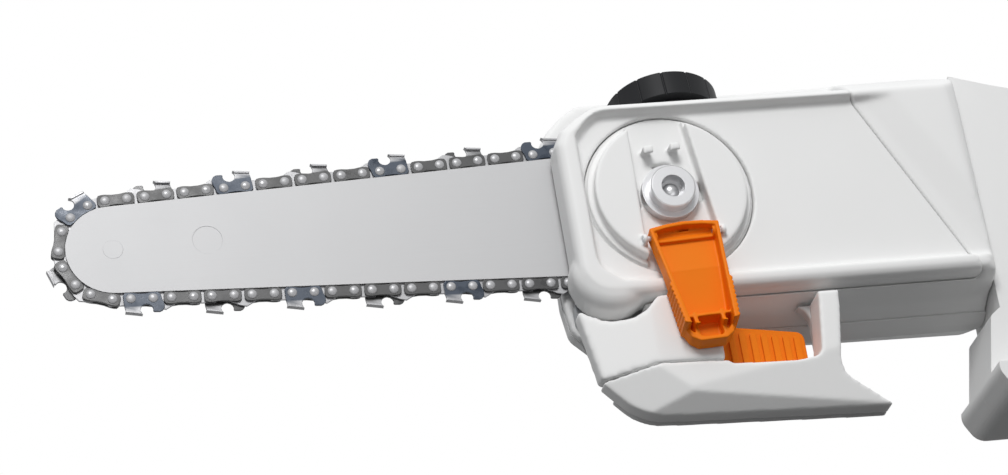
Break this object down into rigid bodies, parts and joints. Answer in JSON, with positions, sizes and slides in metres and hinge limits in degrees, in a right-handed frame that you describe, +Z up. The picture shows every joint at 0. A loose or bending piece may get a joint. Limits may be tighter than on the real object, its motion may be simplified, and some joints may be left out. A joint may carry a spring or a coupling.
{
  "type": "compact battery chainsaw",
  "caption": "Compact white battery chainsaw with a steel guide bar and cutting chain, orange flip lever bar lock, black thumb wheel tensioner, and a deep lower guard with a hooked tip",
  "frame": {"origin": "On the flat foot of the rear handle, in the middle plane of the guide bar", "axes": "-X is the way the guide bar points, +X the handle; -Y is the side with the sprocket cover, lock knob and lever; +Z is up, away from the foot"},
  "size_m": [0.6513, 0.0882, 0.1785],
  "materials": {
    "bar_steel": "satin ground steel with lengthwise grain",
    "polished_steel": "fine turned steel",
    "cutter_blue": "blued hardened steel",
    "cutter_grey": "plain hardened steel",
    "link_steel": "oiled grey steel",
    "dark_steel": "dark plated steel",
    "motor_metal": "cast and turned alloy",
    "white_shell": "fine-textured moulded plastic",
    "grey_shell": "fine-textured moulded plastic",
    "black_plastic": "fine-textured moulded plastic",
    "orange_plastic": "semi-gloss moulded plastic",
    "spring_steel": "drawn wire",
    "clear_tank": "milky blow-moulded plastic",
    "alloy": "die-cast alloy",
    "circuit_board": "lacquered board",
    "contact_brass": "plated contact"
  },
  "bodies": {
    "body": {"housing_near": "white_shell", "housing_far": "white_shell", "sprocket_cover": "white_shell", "chain_catcher": "alloy", "guard_near": "white_shell", "guard_far": "grey_shell", "bar_stud": "polished_steel", "wheel_axle": "polished_steel", "oil_tank": "clear_tank", "oil_pump": "dark_steel", "motor_can": "motor_metal", "shaft_bearings": "polished_steel", "handle_near": "white_shell", "handle_far": "white_shell", "trigger_pin": "polished_steel", "trigger_switch": "black_plastic", "lockout_spring": "spring_steel", "trigger_spring": "spring_steel", "control_board": "circuit_board", "battery_terminals": "contact_brass", "housing_screws": "dark_steel", "handle_screws": "dark_steel", "guard_spring": "spring_steel"},
    "bar": {"guide_bar": "bar_steel", "nose_bearing": "polished_steel", "cutters_near": "cutter_blue", "cutters_far": "cutter_grey", "tie_straps": "link_steel", "drive_links": "link_steel", "chain_rivets": "link_steel", "tension_slider": "dark_steel"},
    "nose": {"nose_sprocket": "polished_steel"},
    "drive": {"drive_sprocket": "dark_steel", "sprocket_clip": "dark_steel", "motor_shaft": "polished_steel", "motor_rotor": "dark_steel"},
    "lock": {"lock_nut": "polished_steel", "lock_knob": "white_shell", "lever_pin": "polished_steel"},
    "lever": {"lock_lever": "orange_plastic"},
    "wheel": {"tension_wheel": "black_plastic"},
    "release": {"guard_slide": "orange_plastic"},
    "trigger_body": {"trigger": "orange_plastic"},
    "lockout": {"lockout_button": "orange_plastic"},
    "pack": {"battery": "black_plastic", "latch_spring": "spring_steel"},
    "latch": {"battery_latch": "orange_plastic"},
    "cap": {"oil_cap": "orange_plastic"}
  },
  "joints": [
    {"name": "drive_spin", "type": "hinge", "parent": "body", "child": "drive", "pos_m": [-0.141, 0, 0.1148], "axis": [0, -1, 0], "continuous": true, "deforming": ["cutters_near", "cutters_far", "tie_straps", "drive_links", "chain_rivets"]},
    {"name": "nose_spin", "type": "hinge", "parent": "bar", "child": "nose", "pos_m": [-0.48157, 0, 0.1148], "axis": [0, -1, 0], "continuous": true},
    {"name": "tension_turn", "type": "hinge", "parent": "body", "child": "wheel", "pos_m": [-0.209, 0.007, 0.1728], "axis": [0, 0.2079, 0.9781], "range_deg": [-60.5, 180.5]},
    {"name": "bar_slide", "type": "slide", "parent": "body", "child": "bar", "axis": [1, 0, 0], "range_m": [-0.002, 0.006]},
    {"name": "lock_turn", "type": "hinge", "parent": "body", "child": "lock", "pos_m": [-0.22, 0, 0.1148], "axis": [0, 1, 0], "range_deg": [-180, 90]},
    {"name": "lever_fold", "type": "hinge", "parent": "lock", "child": "lever", "pos_m": [-0.21872, -0.026, 0.09033], "axis": [-0.9986, 0, -0.0523], "range_deg": [0, 170]},
    {"name": "release_slide", "type": "slide", "parent": "body", "child": "release", "axis": [1, 0, 0], "range_m": [0, 0.004], "stiffness_N_per_m": 300, "springref_m": -0.002, "deforming": ["guard_spring"]},
    {"name": "trigger_pull", "type": "hinge", "parent": "body", "child": "trigger_body", "pos_m": [-0.036, 0.009, 0.1188], "axis": [0, -1, 0], "range_deg": [0, 9], "stiffness_Nm_per_rad": 0.6, "springref_deg": -5.73, "deforming": ["trigger_spring"]},
    {"name": "lockout_press", "type": "slide", "parent": "body", "child": "lockout", "axis": [0, 0, -1], "range_m": [0, 0.005], "stiffness_N_per_m": 300, "springref_m": -0.002, "deforming": ["lockout_spring"]},
    {"name": "battery_slide", "type": "slide", "parent": "body", "child": "pack", "axis": [1, 0, 0], "range_m": [0, 0.045]},
    {"name": "latch_press", "type": "slide", "parent": "pack", "child": "latch", "axis": [0, 0, -1], "range_m": [0, 0.0035], "stiffness_N_per_m": 400, "springref_m": -0.002, "deforming": ["latch_spring"]},
    {"name": "cap_turn", "type": "hinge", "parent": "body", "child": "cap", "pos_m": [-0.242, 0.04, 0.0828], "axis": [0, 1, 0], "range_deg": [0, 180]}
  ],
  "couplings": [
    {"joint": "nose_spin", "follows": "drive_spin", "ratio": 0.712},
    {"joint": "tension_turn", "follows": "bar_slide", "rad_per_m": 523.6}
  ]
}
